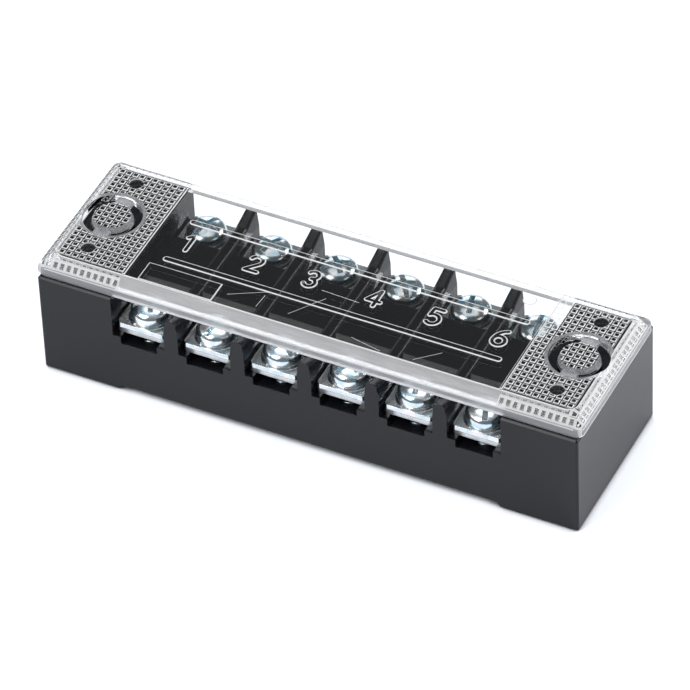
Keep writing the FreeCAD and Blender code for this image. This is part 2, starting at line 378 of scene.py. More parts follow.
@dataclass(frozen=True)
class Arc:
    """Curved stroke with round ends."""

    centre: Plan
    radius: float
    start: float
    sweep: float

    def solids(self, name: str, place: Plan, section: ReliefSection) -> list[bpy.types.Object]:
        """Build the stroke.

        Args:
            name: Name of the objects.
            place: Where the figure's middle lies in plan.
            section: Cross-section of the stroke.

        Returns:
            Closed solids that make up the stroke.
        """
        bm = bmesh.new()
        axis = Vector((place[0] + self.centre[0], place[1] + self.centre[1], 0))
        first = math.radians(self.start)
        direction = Vector((math.cos(first), math.sin(first), 0))
        outer = [(self.radius + reach, level) for reach, level in section.levels]
        inner = [(self.radius - reach, level) for reach, level in reversed(section.levels)]
        corners = [
            bm.verts.new(axis + direction * reach + Vector((0, 0, level))) for reach, level in outer + inner
        ]
        profile = bm.faces.new(corners)
        full = abs(self.sweep) >= 360
        geom = list(profile.edges) + corners
        if full:
            bm.faces.remove(profile)
        else:
            geom.append(profile)
        bmesh.ops.spin(
            bm,
            geom=geom,
            cent=axis,
            axis=(0, 0, 1),
            angle=math.radians(self.sweep),
            steps=round(abs(self.sweep) / ARC_STEP),
            use_merge=full,
            use_duplicate=False,
        )
        if full:
            bmesh.ops.remove_doubles(bm, verts=bm.verts, dist=MERGE)
            return [finish_stroke(name, bm)]
        made = [finish_stroke(name, bm)]
        for angle in (self.start, self.start + self.sweep):
            turn = math.radians(angle)
            across, along = self.radius * math.cos(turn), self.radius * math.sin(turn)
            end = (self.centre[0] + across, self.centre[1] + along)
            made += Line(end, end).solids(name, place, section)
        return made


class ShaderTree:
    """Short calls for wiring a node tree."""

    def __init__(self, tree: bpy.types.NodeTree) -> None:
        """Keep the tree and clear it."""
        self.tree = tree
        tree.nodes.clear()

    def feed(self, source: object, target: bpy.types.NodeSocket) -> None:
        """Link an output to an input, or give the input a value."""
        if isinstance(source, bpy.types.NodeSocket):
            self.tree.links.new(source, target)
        else:
            target.default_value = source

    def node(self, kind: str, *sources: object, **values: object) -> bpy.types.Node:
        """Add a node.

        Args:
            kind: Node type.
            sources: Outputs or values for its first inputs, in order.
            values: Attributes of the node, or what its inputs take, by name with spaces as underscores.

        Returns:
            The node.
        """
        made = self.tree.nodes.new(kind)
        for key, value in values.items():
            label = key.replace("_", " ")
            if label in made.inputs:
                self.feed(value, made.inputs[label])
            else:
                setattr(made, key, value)
        for source, target in zip(sources, made.inputs):
            self.feed(source, target)
        return made

    def math(self, operation: str, *sources: object, **values: object) -> bpy.types.NodeSocket:
        """Result of a math node on outputs or numbers."""
        return self.node("ShaderNodeMath", *sources, operation=operation, **values).outputs[0]

    def blend(self, mask: bpy.types.NodeSocket, colours: tuple[Colour, Colour]) -> bpy.types.NodeSocket:
        """Colour that goes from the first to the second as the mask rises."""
        made = self.node("ShaderNodeMix", mask, data_type="RGBA")
        for index, colour in zip((6, 7), colours):
            made.inputs[index].default_value = (*colour, 1.0)
        return made.outputs[2]

    def spread(self, mask: bpy.types.NodeSocket, limits: Plan) -> bpy.types.NodeSocket:
        """Value that goes from the first limit to the second as the mask rises."""
        low, high = limits
        return self.node("ShaderNodeMapRange", mask, To_Min=low, To_Max=high).outputs["Result"]


def new_group(
    name: str, inputs: dict[str, tuple[str, object]], outputs: dict[str, str]
) -> bpy.types.NodeTree:
    """Empty shader node group with named sockets.

    Args:
        name: Name of the group.
        inputs: Socket type and default value by input name.
        outputs: Socket type by output name.

    Returns:
        The group.
    """
    group = bpy.data.node_groups.new(name, "ShaderNodeTree")
    for label, (kind, value) in inputs.items():
        socket = group.interface.new_socket(label, in_out="INPUT", socket_type=kind)
        socket.default_value = value
    for label, kind in outputs.items():
        group.interface.new_socket(label, in_out="OUTPUT", socket_type=kind)
    return group


@dataclass(frozen=True)
class Mottle:
    """Slow and fine variation over a surface, as moulding and plating leave it."""

    name: str = "mottle"

    def group(self) -> bpy.types.NodeTree:
        """Build the group, or find it.

        Returns:
            Group with a mask and a height, both between 0 and 1.
        """
        found = bpy.data.node_groups.get(self.name)
        if found:
            return found
        group = new_group(
            self.name,
            {
                "Stretch": ("NodeSocketVector", (1.0, 1.0, 1.0)),
                "Scale": ("NodeSocketFloat", 400.0),
                "Fine Scale": ("NodeSocketFloat", 4000.0),
            },
            {"Mask": "NodeSocketFloat", "Height": "NodeSocketFloat"},
        )
        wires = ShaderTree(group)
        source = wires.node("NodeGroupInput").outputs
        sink = wires.node("NodeGroupOutput").inputs
        place = wires.node("ShaderNodeTexCoord").outputs["Object"]
        stretched = wires.node("ShaderNodeVectorMath", place, source["Stretch"], operation="MULTIPLY")
        noises = (("Scale", 3.0, 0.55, "Mask"), ("Fine Scale", 4.0, 0.6, "Height"))
        for scale, detail, roughness, result in noises:
            noise = wires.node(
                "ShaderNodeTexNoise",
                Vector=stretched.outputs["Vector"],
                Scale=source[scale],
                Detail=detail,
                Roughness=roughness,
            )
            wires.feed(noise.outputs["Fac"], sink[result])
        return group


@dataclass(frozen=True)
class EdgeHighlight:
    """Sharp edges: a mask for a painted highlight on plastic, and a rounded normal with which plastic and
    plating catch the lamps.
    """

    name: str = "edge_highlight"

    def group(self) -> bpy.types.NodeTree:
        """Build the group, or find it.

        Returns:
            Group with a mask that is 1 on an edge, and the normal of the rounded edge.
        """
        found = bpy.data.node_groups.get(self.name)
        if found:
            return found
        group = new_group(
            self.name,
            {"Radius": ("NodeSocketFloat", 0.0001), "Strength": ("NodeSocketFloat", 4.0)},
            {"Mask": "NodeSocketFloat", "Normal": "NodeSocketVector"},
        )
        wires = ShaderTree(group)
        source = wires.node("NodeGroupInput").outputs
        sink = wires.node("NodeGroupOutput").inputs
        rounded = wires.node("ShaderNodeBevel", samples=6, Radius=source["Radius"]).outputs["Normal"]
        flat = wires.node("ShaderNodeNewGeometry").outputs["Normal"]
        agree = wires.node("ShaderNodeVectorMath", rounded, flat, operation="DOT_PRODUCT").outputs["Value"]
        turned = wires.math("SUBTRACT", 1.0, agree)
        wires.feed(wires.math("MULTIPLY", turned, source["Strength"], use_clamp=True), sink["Mask"])
        wires.feed(rounded, sink["Normal"])
        return group


@dataclass(frozen=True)
class Finish:
    """Finish of a piece, whose material is built at its first use."""

    name: str

    def surface(self, wires: ShaderTree) -> bpy.types.NodeSocket:
        """Wire the finish.

        Args:
            wires: Tree of the material.

        Returns:
            Output of its shader.
        """
        raise NotImplementedError

    def material(self) -> bpy.types.Material:
        """Build the material, or find it."""
        found = bpy.data.materials.get(self.name)
        if found:
            return found
        material = bpy.data.materials.new(self.name)
        material.use_nodes = True
        wires = ShaderTree(material.node_tree)
        wires.node("ShaderNodeOutputMaterial", self.surface(wires))
        return material


@dataclass(frozen=True)
class MouldedPlastic(Finish):
    """Opaque moulded plastic, a little uneven in gloss, with a painted highlight that makes its sharp edges
    paler.
    """

    colour: Colour
    # Paler colour painted on sharp edges as a highlight.
    painted_edge_highlight: Colour
    roughness: Plan
    shine: float
    grain: float
    edge_radius: float
    patch_scale: float = 250.0
    grain_scale: float = 5200.0
    grain_height: float = 0.00002
    # Gain of the edge mask for that painted highlight.
    edge_highlight_gain: float = 3.0

    def surface(self, wires: ShaderTree) -> bpy.types.NodeSocket:
        """Wire the finish."""
        mottle = wires.node(
            "ShaderNodeGroup",
            node_tree=Mottle().group(),
            Scale=self.patch_scale,
            Fine_Scale=self.grain_scale,
        ).outputs
        edges = wires.node(
            "ShaderNodeGroup",
            node_tree=EdgeHighlight().group(),
            Radius=self.edge_radius * MILLIMETRE,
            Strength=self.edge_highlight_gain,
        ).outputs
        bump = wires.node(
            "ShaderNodeBump",
            Strength=self.grain,
            Distance=self.grain_height,
            Height=mottle["Height"],
            Normal=edges["Normal"],
        )
        body = wires.node(
            "ShaderNodeBsdfPrincipled",
            IOR=1.5,
            Specular_IOR_Level=self.shine,
            # Painted highlight: the colour turns paler on sharp edges.
            Base_Color=wires.blend(edges["Mask"], (self.colour, self.painted_edge_highlight)),
            Roughness=wires.spread(mottle["Mask"], self.roughness),
            Normal=bump.outputs["Normal"],
        )
        return body.outputs["BSDF"]


@dataclass(frozen=True)
class BrightPlating(Finish):
    """Bright zinc plating, with patches of a cooler tone, duller places and edges that catch the light."""

    colours: tuple[Colour, Colour]
    roughness: Plan
    edge_radius: float
    patch_limits: Plan = (0.4, 0.6)
    patch_scale: float = 750.0
    dull_scale: float = 3600.0
    unevenness: float = 0.4
    uneven_height: float = 0.00006

    def surface(self, wires: ShaderTree) -> bpy.types.NodeSocket:
        """Wire the finish."""
        mottle = wires.node(
            "ShaderNodeGroup",
            node_tree=Mottle().group(),
            Scale=self.patch_scale,
            Fine_Scale=self.dull_scale,
        ).outputs
        edges = wires.node(
            "ShaderNodeGroup", node_tree=EdgeHighlight().group(), Radius=self.edge_radius * MILLIMETRE
        ).outputs
        tone = wires.node("ShaderNodeValToRGB", mottle["Mask"])
        for stop, place, colour in zip(tone.color_ramp.elements, self.patch_limits, self.colours):
            stop.position = place
            stop.color = (*colour, 1.0)
        bump = wires.node(
            "ShaderNodeBump",
            Strength=self.unevenness,
            Distance=self.uneven_height,
            Height=mottle["Mask"],
            Normal=edges["Normal"],
        )
        body = wires.node(
            "ShaderNodeBsdfPrincipled",
            Metallic=1.0,
            Base_Color=tone.outputs["Color"],
            Roughness=wires.spread(mottle["Height"], self.roughness),
            Normal=bump.outputs["Normal"],
        )
        return body.outputs["BSDF"]


@dataclass(frozen=True)
class ClearMoulding(Finish):
    """Clear plastic that refracts to the eye, lets the lamps through and may be clouded white, by scuffs and
    frosting, and by painted highlights and sheen.
    """

    tints: tuple[Colour, Colour]
    roughness: Plan
    clearness: float
    shade: float
    stretch: Place = (1.0, 1.0, 1.0)
    scale: float = 90.0
    ripple: float = 0.05
    ripple_height: float = 0.0001
    shine: float = 0.5
    one_crossing: float = 1.5

    def surface(self, wires: ShaderTree) -> bpy.types.NodeSocket:
        """Wire the finish."""
        mottle = wires.node(
            "ShaderNodeGroup",
            node_tree=Mottle().group(),
            Stretch=self.stretch,
            Scale=self.scale,
            Fine_Scale=10 * self.scale,
        ).outputs
        bump = wires.node(
            "ShaderNodeBump", Strength=self.ripple, Distance=self.ripple_height, Height=mottle["Mask"]
        )
        body = wires.node(
            "ShaderNodeBsdfPrincipled",
            IOR=1.49,
            Transmission_Weight=self.clearness,
            Specular_IOR_Level=self.shine,
            Base_Color=wires.blend(mottle["Mask"], self.tints),
            Roughness=wires.spread(mottle["Height"], self.roughness),
            Normal=bump.outputs["Normal"],
        )
        through = wires.node("ShaderNodeBsdfTransparent", Color=(*(self.shade,) * 3, 1.0))
        rays = wires.node("ShaderNodeLightPath").outputs
        crossed = wires.math("GREATER_THAN", rays["Transmission Depth"], self.one_crossing)
        from_below = wires.math("MULTIPLY", crossed, rays["Is Reflection Ray"])
        straight = wires.math("MAXIMUM", from_below, rays["Is Shadow Ray"])
        mix = wires.node("ShaderNodeMixShader", straight, body.outputs["BSDF"], through.outputs["BSDF"])
        return mix.outputs["Shader"]


@dataclass(frozen=True)
class PaleFloor(Finish):
    """Floor that reads white to the eye and keeps the object's shadow, with a dark line of painted shade
    under the object where its glow fades with ambient occlusion.
    """

    colour: Colour
    glow: Colour
    lift: float
    mirrored_lift: float
    # Reach and limits of the ambient occlusion that paints a dark line of shade at the foot.
    shade_line_reach: float = 0.002
    shade_line_limits: Plan = (0.45, 0.65)

    def surface(self, wires: ShaderTree) -> bpy.types.NodeSocket:
        """Wire the finish."""
        rays = wires.node("ShaderNodeLightPath").outputs
        mirrored = wires.math("MULTIPLY", rays["Is Glossy Ray"], self.mirrored_lift)
        seen = wires.math("MAXIMUM", rays["Is Camera Ray"], mirrored)
        seen_through = wires.math("MAXIMUM", seen, rays["Is Transmission Ray"])
        lift = wires.math("MULTIPLY", seen_through, self.lift)
        # Painted shade: the glow is taken away where ambient occlusion is low, as a dark line at the object's
        # foot.
        open_sky = wires.node("ShaderNodeAmbientOcclusion", samples=8, Distance=self.shade_line_reach)
        low, high = self.shade_line_limits
        outside_painted_shade = wires.node("ShaderNodeMapRange", open_sky.outputs["AO"], From_Min=low, From_Max=high)
        body = wires.node(
            "ShaderNodeBsdfPrincipled",
            Base_Color=(*self.colour, 1.0),
            Roughness=0.9,
            Specular_IOR_Level=0.0,
            Emission_Color=(*self.glow, 1.0),
            Emission_Strength=wires.math("MULTIPLY", lift, outside_painted_shade.outputs["Result"]),
        )
        return body.outputs["BSDF"]


WHITE = (1.0, 1.0, 1.0)
BLACK_MOULDING = MouldedPlastic(
    "black_moulding",
    colour=(0.009, 0.0095, 0.013),
    # Painted edge highlight, paler than the moulding.
    painted_edge_highlight=(0.035, 0.035, 0.04),
    roughness=(0.12, 0.24),
    shine=0.37,
    grain=0.15,
    edge_radius=0.1,
)
COVER_FINISHES = {
    Face.CLEAR: ClearMoulding(
        "clear_panel",
        tints=((0.98, 0.985, 0.99), (0.99, 0.993, 0.996)),
        roughness=(0.0, 0.0),
        clearness=1.0,
        shade=0.66,
        shine=0.4,
    ),
    # Milky, streaked clear plastic: scuffs, and a painted sheen, as it goes only on faces toward the front
    # and the right.
    Face.SCUFFED: ClearMoulding(
        "scuffs_and_painted_sheen",
        tints=((0.66, 0.67, 0.74), WHITE),
        roughness=(0.1, 0.35),
        clearness=0.55,
        shade=0.85,
        stretch=(1.0, 7.0, 7.0),
        scale=260.0,
        ripple=0.6,
    ),
    # Nearly opaque white: a painted highlight standing in for the bright lines on clear edges and slopes.
    Face.LIT_EDGE: ClearMoulding(
        "painted_highlight",
        tints=((0.93, 0.95, 0.98), WHITE),
        roughness=(0.15, 0.3),
        clearness=0.12,
        shade=0.8,
        scale=900.0,
    ),
    # Dark and white patches: frosting, with painted highlights on the smooth band and the button's walls.
    Face.FROSTED: ClearMoulding(
        "frosting_and_painted_highlight",
        tints=((0.3, 0.31, 0.34), (0.95, 0.96, 1.0)),
        roughness=(0.1, 0.4),
        clearness=0.55,
        shade=0.8,
        scale=700.0,
        ripple=0.5,
    ),
}
PLATING_EDGE = 0.12
SCREW_PLATING = BrightPlating("screw_plating", ((0.6, 0.82, 0.93), WHITE), (0.1, 0.3), PLATING_EDGE)
CLAMP_PLATING = BrightPlating("clamp_plating", ((0.72, 0.84, 0.9), WHITE), (0.12, 0.3), PLATING_EDGE)
STRIP_PLATING = BrightPlating(
    "strip_plating", ((0.7, 0.74, 0.76), (0.85, 0.87, 0.88)), (0.2, 0.4), PLATING_EDGE
)
PALE_FLOOR = PaleFloor(
    "pale_floor", colour=(0.84, 0.855, 0.9), glow=(0.92, 0.95, 1.0), lift=0.65, mirrored_lift=0.6
)

FIGURES: dict[int, list[Line | Arc]] = {
    1: [Line((-0.68, 1.08), (0.11, 1.71)), Line((0.11, 1.71), (0.11, -1.71))],
    2: [
        Arc((0.0, 0.75), 0.96, 165, -205),
        Line((0.73, 0.14), (-0.97, -1.65)),
        Line((-0.97, -1.65), (1.03, -1.65)),
    ],
    3: [Arc((-0.06, 0.85), 0.83, 150, -240), Arc((-0.06, -0.82), 0.89, 90, -240)],
    4: [
        Line((0.4, 1.71), (-1.08, -0.68)),
        Line((-1.08, -0.68), (1.08, -0.68)),
        Line((0.4, 1.71), (0.4, -1.71)),
    ],
    5: [
        Line((0.91, 1.65), (-0.63, 1.65)),
        Line((-0.63, 1.65), (-0.78, 0.14)),
        Arc((-0.06, -0.65), 1.06, 132, -264),
    ],
    6: [Arc((1.54, -0.68), 2.51, 111, 69), Arc((0.0, -0.71), 0.98, 0, 360)],
}


@dataclass
class CoverShell:
    """Clear cover: bevelled panel and rim, a knurled pad over each end, and a plug under each pad."""

    rim_height: float = 1.7
    bevel_run: float = 2.0
    bevel_rise: float = 1.6
    corner_radius: float = 1.3
    corner_flats: int = 5
    wall: float = 1.2
    edge_radius: float = 0.13
    edge_flats: int = 2
    crease_angle: float = 0.3
    over_cut: float = 1.0
    mount_x: float = 39.5
    knurl_length: float = 13.75
    knurl_columns: int = 12
    knurl_rows: int = 22
    knurl_lift: float = 0.02
    knurl_valley: float = 0.14
    knurl_slope: float = 0.22
    knurl_height: float = 0.08
    thin_valley: float = 0.3
    thin_slope: float = 0.1
    knurl_margin: float = 0.2
    knurl_root: float = 0.4
    ridge_width: float = 0.4
    ridge_height: float = 0.2
    ridge_lap: float = 0.05
    ridge_root: float = 0.1
    ridge_round: float = 0.12
    well_radius: float = 4.75
    well_flats: int = 72
    band_radius: float = 5.3
    band_depth: float = 0.03
    disc_radius: float = 3.4
    disc_lift: float = 0.03
    button_radius: float = 2.75
    bridge_width: float = 2.6
    bridge_drop: float = 0.4
    bridge_lift: float = 0.05
    bridge_lap: float = 0.3
    tube_wall: float = 1.1
    tube_inset: float = 0.02
    tube_root: float = 0.3
    tube_reach: float = 4.5
    tube_slot_half_angle: float = 15.0
    spot_radius: float = 1.2
    spot_depth: float = 0.25
    spot_offset: float = 8.1
    relief_height: float = 0.1
    relief_slope: float = 0.2
    relief_root: float = 0.3
    relief_foot: float = 0.01
    rib_half_width: float = 0.58
    ribs: tuple[tuple[str, Plan, Plan], ...] = (
        ("front_rib", (-27.25, -5.6), (28.7, -5.6)),
        ("rear_rib", (-27.25, 3.55), (29.2, 3.55)),
    )
    gate_place: Plan = (27.6, 8.25)
    gate_radius: float = 1.1
    name_frame_corners: tuple[Plan, Plan] = ((-29.3, -11.45), (-16.7, -7.3))
    figure_half_width: float = 0.46
    scratch_half_width: float = 0.04
    scratch_slope: float = 0.9
    scratch_levels: Place = (-0.02, 0.004, 0.03)
    scratches: tuple[tuple[Plan, Plan], ...] = (
        ((-15.1, -9.0), (-9.9, -6.2)),
        ((-4.7, -9.2), (-0.9, -3.9)),
        ((-9.9, -9.7), (-9.7, -7.0)),
        ((-2.3, -2.4), (4.1, -2.7)),
        ((6.4, -10.1), (11.6, -11.1)),
        ((17.0, -10.8), (20.4, -7.7)),
    )
    figure_places: tuple[Plan, ...] = (
        (-25.6, -1.0),
        (-14.3, -1.2),
        (-4.8, -0.8),
        (5.9, -0.8),
        (15.9, -0.9),
        (27.0, -1.2),
    )

    def __post_init__(self) -> None:
        """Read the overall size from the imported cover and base."""
        high = node_box("cover")[1]
        self.half_length = high.x
        self.half_width = high.y
        self.base_top = node_box("base")[1].z
        self.panel_top = self.base_top + self.rim_height + self.bevel_rise
        self.underside = self.panel_top - self.wall
        self.materials = [COVER_FINISHES[face].material() for face in Face]

    def ready(
        self, piece: bpy.types.Object, finish: Face | None = None, walls_only: bool = False
    ) -> bpy.types.Object:
        """Give a solid the cover's list of finishes, so that joined faces keep theirs.

        Args:
            piece: Solid that is to be joined to the cover or cut out of it.
            finish: Finish of its faces, where they have one.
            walls_only: Whether that finish is for the faces round its sides alone.

        Returns:
            The same solid.
        """
        for material in self.materials:
            piece.data.materials.append(material)
        if finish:
            for face in piece.data.polygons:
                if abs(face.normal.z) < LEVEL or not walls_only:
                    face.material_index = finish.value
        return piece

    def bevelled_mesh(self, half: Plan, heights: Place, run: float, corner: float) -> bmesh.types.BMesh:
        """Block with a bevel round its top and rounded upright corners.

        Args:
            half: Half its length and half its width.
            heights: Levels of its foot, of the bevel's lower edge and of its top.
            run: Width of the bevel in plan.
            corner: Radius of the upright corners.

        Returns:
            The block.
        """
        foot, shoulder, top = heights
        bm = block_mesh(Vector((-half[0], -half[1], foot)), Vector((half[0], half[1], shoulder)))
        upper = [face for face in bm.faces if face.normal.z > LEVEL]
        bmesh.ops.inset_region(bm, faces=upper, thickness=run, depth=top - shoulder, use_even_offset=True)
        corners = [edge for edge in bm.edges if abs(edge.verts[0].co.z - edge.verts[1].co.z) > NEAR]
        round_edges(bm, corners, corner, self.corner_flats)
        return bm

    def outer_block(self) -> bpy.types.Object:
        """Solid outside of the cover, with its top bevel and rounded edges."""
        shoulder = self.base_top + self.rim_height
        bm = self.bevelled_mesh(
            (self.half_length, self.half_width),
            (self.base_top, shoulder, self.panel_top),
            self.bevel_run,
            self.corner_radius,
        )
        # Faces toward the front and the right: scuffs with a painted sheen.
        for face in bm.faces:
            if faces_viewer(face):
                face.material_index = Face.SCUFFED.value
        creases = [
            edge
            for edge in bm.edges
            if edge.calc_face_angle(0.0) > self.crease_angle
            and abs(edge.verts[0].co.z - edge.verts[1].co.z) < NEAR
        ]
        # Rounded creases: painted highlight.
        for face in round_edges(bm, creases, self.edge_radius, self.edge_flats):
            face.material_index = Face.LIT_EDGE.value
        return self.ready(linked_object("cover_shell", bm))

    def cavity(self) -> bpy.types.Object:
        """Solid that fills the inside of the cover."""
        bm = self.bevelled_mesh(
            (self.half_length - self.wall, self.half_width - self.wall),
            (self.base_top - self.over_cut, self.underside - self.bevel_rise / 2, self.underside),
            self.bevel_run / 2,
            self.corner_radius / 2,
        )
        return self.ready(linked_object("cover_cavity", bm))

    def skin_height(self, x: float, y: float) -> float:
        """Level of the cover's outside at a place in plan."""
        slope = self.bevel_rise / self.bevel_run
        edge_z = self.base_top + self.rim_height
        from_end = edge_z + (self.half_length - abs(x)) * slope
        from_side = edge_z + (self.half_width - abs(y)) * slope
        return min(self.panel_top, from_end, from_side)

    def paint_foot_highlight(self, cover: bpy.types.Object) -> None:
        """Give the foot of the rim the painted highlight, but for the left end and the rear left pad."""
        bm = bmesh.new()
        bm.from_mesh(cover.data)
        inner = self.half_length - self.knurl_length
        front = self.wall - self.half_width
        cuts = ((Vector((-inner, 0, 0)), Vector((1, 0, 0))), (Vector((0, front, 0)), Vector((0, 1, 0))))
        for place, normal in cuts:
            down = [face for face in bm.faces if face.normal.z < -LEVEL]
            foot = [face for face in down if abs(face.verts[0].co.z - self.base_top) < NEAR]
            geom = dict.fromkeys(part for face in foot for part in (face, *face.edges, *face.verts))
            bmesh.ops.bisect_plane(bm, geom=list(geom), plane_co=place, plane_no=normal)
            bm.normal_update()
        for face in bm.faces:
            middle = face.calc_center_median()
            if face.normal.z < -LEVEL and abs(middle.z - self.base_top) < NEAR:
                if middle.x > -inner or middle.y < front:
                    face.material_index = Face.LIT_EDGE.value
        bm.to_mesh(cover.data)
        bm.free()

    def knurled_blanket(self, side: int) -> bpy.types.Object:
        """Knurled skin of one pad, draped over the bevels, as a closed solid.

        Args:
            side: Minus one for the left pad and one for the right.

        Returns:
            The solid, which reaches down into the wall of the cover.
        """
        bm = bmesh.new()
        front = -self.half_width + self.knurl_margin
        width = self.half_width - self.bevel_run - front
        centre_x = side * (self.half_length - self.knurl_margin - self.knurl_length / 2)
        bmesh.ops.create_grid(bm, x_segments=self.knurl_columns, y_segments=self.knurl_rows, size=0.5)
        bmesh.ops.scale(bm, vec=(self.knurl_length, width, 1.0), verts=bm.verts)
        bmesh.ops.translate(bm, vec=(centre_x, front + width / 2, 0), verts=bm.verts)
        for vert in bm.verts:
            vert.co.z = self.skin_height(vert.co.x, vert.co.y) + self.knurl_lift
        bm.normal_update()
        away = [face for face in bm.faces if face.normal.x < -LEANING]
        facing = [face for face in bm.faces if face.normal.x >= -LEANING]
        for cells, valley, slope in (
            (facing, self.knurl_valley, self.knurl_slope),
            (away, self.thin_valley, self.thin_slope),
        ):
            # Valleys toward the camera and every slope get the painted highlight.
            valleys = bmesh.ops.inset_individual(bm, faces=cells, thickness=valley, depth=0.0)
            for face in valleys["faces"]:
                if faces_viewer(face):
                    face.material_index = Face.LIT_EDGE.value
            slopes = bmesh.ops.inset_individual(bm, faces=cells, thickness=slope, depth=self.knurl_height)
            for face in slopes["faces"]:
                face.material_index = Face.LIT_EDGE.value
        rim = [edge for edge in bm.edges if edge.is_boundary]
        skirt = bmesh.ops.extrude_edge_only(bm, edges=rim)["geom"]
        for part in skirt:
            if isinstance(part, bmesh.types.BMVert):
                part.co.z = self.base_top + self.knurl_root
        loop = [part for part in skirt if isinstance(part, bmesh.types.BMEdge) and part.is_boundary]
        bmesh.ops.contextual_create(bm, geom=loop)
        bmesh.ops.recalc_face_normals(bm, faces=bm.faces)
        return self.ready(linked_object("pad_knurl", bm))

    def pad_ridge(self, side: int) -> bpy.types.Object:
        """Smooth ridge along the inner edge of a pad."""
        inner = self.half_length - self.knurl_margin - self.knurl_length
        edges = sorted((side * (inner + self.ridge_lap), side * (inner - self.ridge_width)))
        half = self.half_width - self.bevel_run - self.ridge_lap
        low = Vector((edges[0], -half, self.underside + self.ridge_root))
        high = Vector((edges[1], half, self.panel_top + self.ridge_height))
        bm = block_mesh(low, high)
        top = [edge for edge in bm.edges if min(vert.co.z for vert in edge.verts) > high.z - NEAR]
        # Rounded top edges: painted highlight.
        for face in round_edges(bm, top, self.ridge_round, 1):
            face.material_index = Face.LIT_EDGE.value
        return self.ready(linked_object("pad_ridge", bm))

    def well(self, cover: bpy.types.Object, side: int) -> None:
        """Open the well of a pad and hang the knurled button with its split tube in it.

        Args:
            cover: The cover so far.
            side: Minus one for the left pad and one for the right.
        """
        centre = (side * self.mount_x, 0.0)
        flats = self.well_flats
        above = self.panel_top + self.over_cut
        band = disc_solid("band", centre, self.band_radius, (self.panel_top - self.band_depth, above), flats)
        well = disc_solid("well", centre, self.well_radius, (self.base_top - self.over_cut / 2, above), flats)
        # The band's recess gets frosting with painted highlights.
        cuts = [self.ready(band, Face.FROSTED), self.ready(well)]
        for row in Row:
            spot = (centre[0], row.side * self.spot_offset)
            hole = disc_solid("spot", spot, self.spot_radius, (self.panel_top - self.spot_depth, above))
            # Spot walls: painted highlight.
            cuts.append(self.ready(hole, Face.LIT_EDGE, walls_only=True))
        combine(cover, cuts, "DIFFERENCE")
        button = self.knurled_blanket(side)
        heights = (self.underside + self.disc_lift, self.panel_top + self.over_cut / 2)
        core = disc_solid("core", centre, self.disc_radius, heights, flats, self.button_radius)
        # The button's walls and the bridges get frosting with painted highlights.
        combine(button, [self.ready(core, Face.FROSTED, walls_only=True)], "INTERSECT")
        added = [button]
        for row in Row:
            reach = (self.disc_radius - self.bridge_lap, self.well_radius + self.bridge_lap)
            ends = sorted(row.side * end for end in reach)
            half = self.bridge_width / 2
            low = Vector((centre[0] - half, ends[0], self.underside + self.bridge_lift))
            high = Vector((centre[0] + half, ends[1], self.panel_top - self.bridge_drop))
            added.append(self.ready(linked_object("bridge", block_mesh(low, high)), Face.FROSTED))
        radii = (self.disc_radius - self.tube_wall, self.disc_radius - self.tube_inset)
        heights = (self.base_top - self.tube_reach, self.underside + self.tube_root)
        sweep = 180 - 2 * self.tube_slot_half_angle
        for start in (self.tube_slot_half_angle, 180 + self.tube_slot_half_angle):
            half_tube = sector_solid("plug_half", centre, radii, heights, start, sweep)
            added.append(self.ready(half_tube))
        combine(cover, added, "UNION")

    def relief(
        self, name: str, strokes: list[Line | Arc], place: Plan, half_width: float
    ) -> bpy.types.Object:
        """Raised mark with sloping edges, drawn by round-ended strokes.

        Args:
            name: Name of the object.
            strokes: The mark's strokes.
            place: Place of the mark in plan.
            half_width: Half the width of a stroke.

        Returns:
            The mark, rooted in the panel.
        """
        section = ReliefSection(
            half_width,
            self.relief_slope,
            self.panel_top - self.relief_root,
            self.panel_top + self.relief_foot,
            self.panel_top + self.relief_height,
        )
        solids = [self.ready(solid) for stroke in strokes for solid in stroke.solids(name, place, section)]
        mark = solids[0]
        if len(solids) > 1:
            combine(mark, solids[1:], "UNION")
        return mark

    def name_frame(self) -> bpy.types.Object:
        """Raised rectangle near the front left of the panel, left bare."""
        near, far = self.name_frame_corners
        low = Vector((*near, self.panel_top - self.relief_root))
        bm = block_mesh(low, Vector((*far, self.panel_top + self.relief_foot)))
        top = [face for face in bm.faces if face.normal.z > LEVEL]
        made = bmesh.ops.inset_region(
            bm, faces=top, thickness=self.relief_slope, depth=self.relief_height, use_even_offset=True
        )
        # Sloping edges: painted highlight.
        for face in made["faces"]:
            face.material_index = Face.LIT_EDGE.value
        return self.ready(linked_object("name_frame", bm))

    def panel_marks(self) -> list[bpy.types.Object]:
        """Everything raised on the clear panel between the pads."""
        middle = (0.0, 0.0)
        half = self.rib_half_width
        marks = [self.relief(name, [Line(start, end)], middle, half) for name, start, end in self.ribs]
        marks.append(self.relief("gate_mark", [Line(middle, middle)], self.gate_place, self.gate_radius))
        marks.append(self.name_frame())
        for figure, place in enumerate(self.figure_places, start=1):
            marks.append(self.relief("figure_%d" % figure, FIGURES[figure], place, self.figure_half_width))
        return marks

    def scratch(self, cover: bpy.types.Object) -> None:
        """Lay fine scratches on the panel, as ridges too small to be cut into it."""
        half = self.scratch_half_width
        levels = [self.panel_top + level for level in self.scratch_levels]
        section = ReliefSection(half, half * self.scratch_slope, *levels)
        bm = bmesh.new()
        bm.from_mesh(cover.data)
        for start, end in self.scratches:
            for hair in Line(start, end).solids("scratch", (0.0, 0.0), section):
                bm.from_mesh(hair.data)
                discard(hair)
        bm.to_mesh(cover.data)
        bm.free()

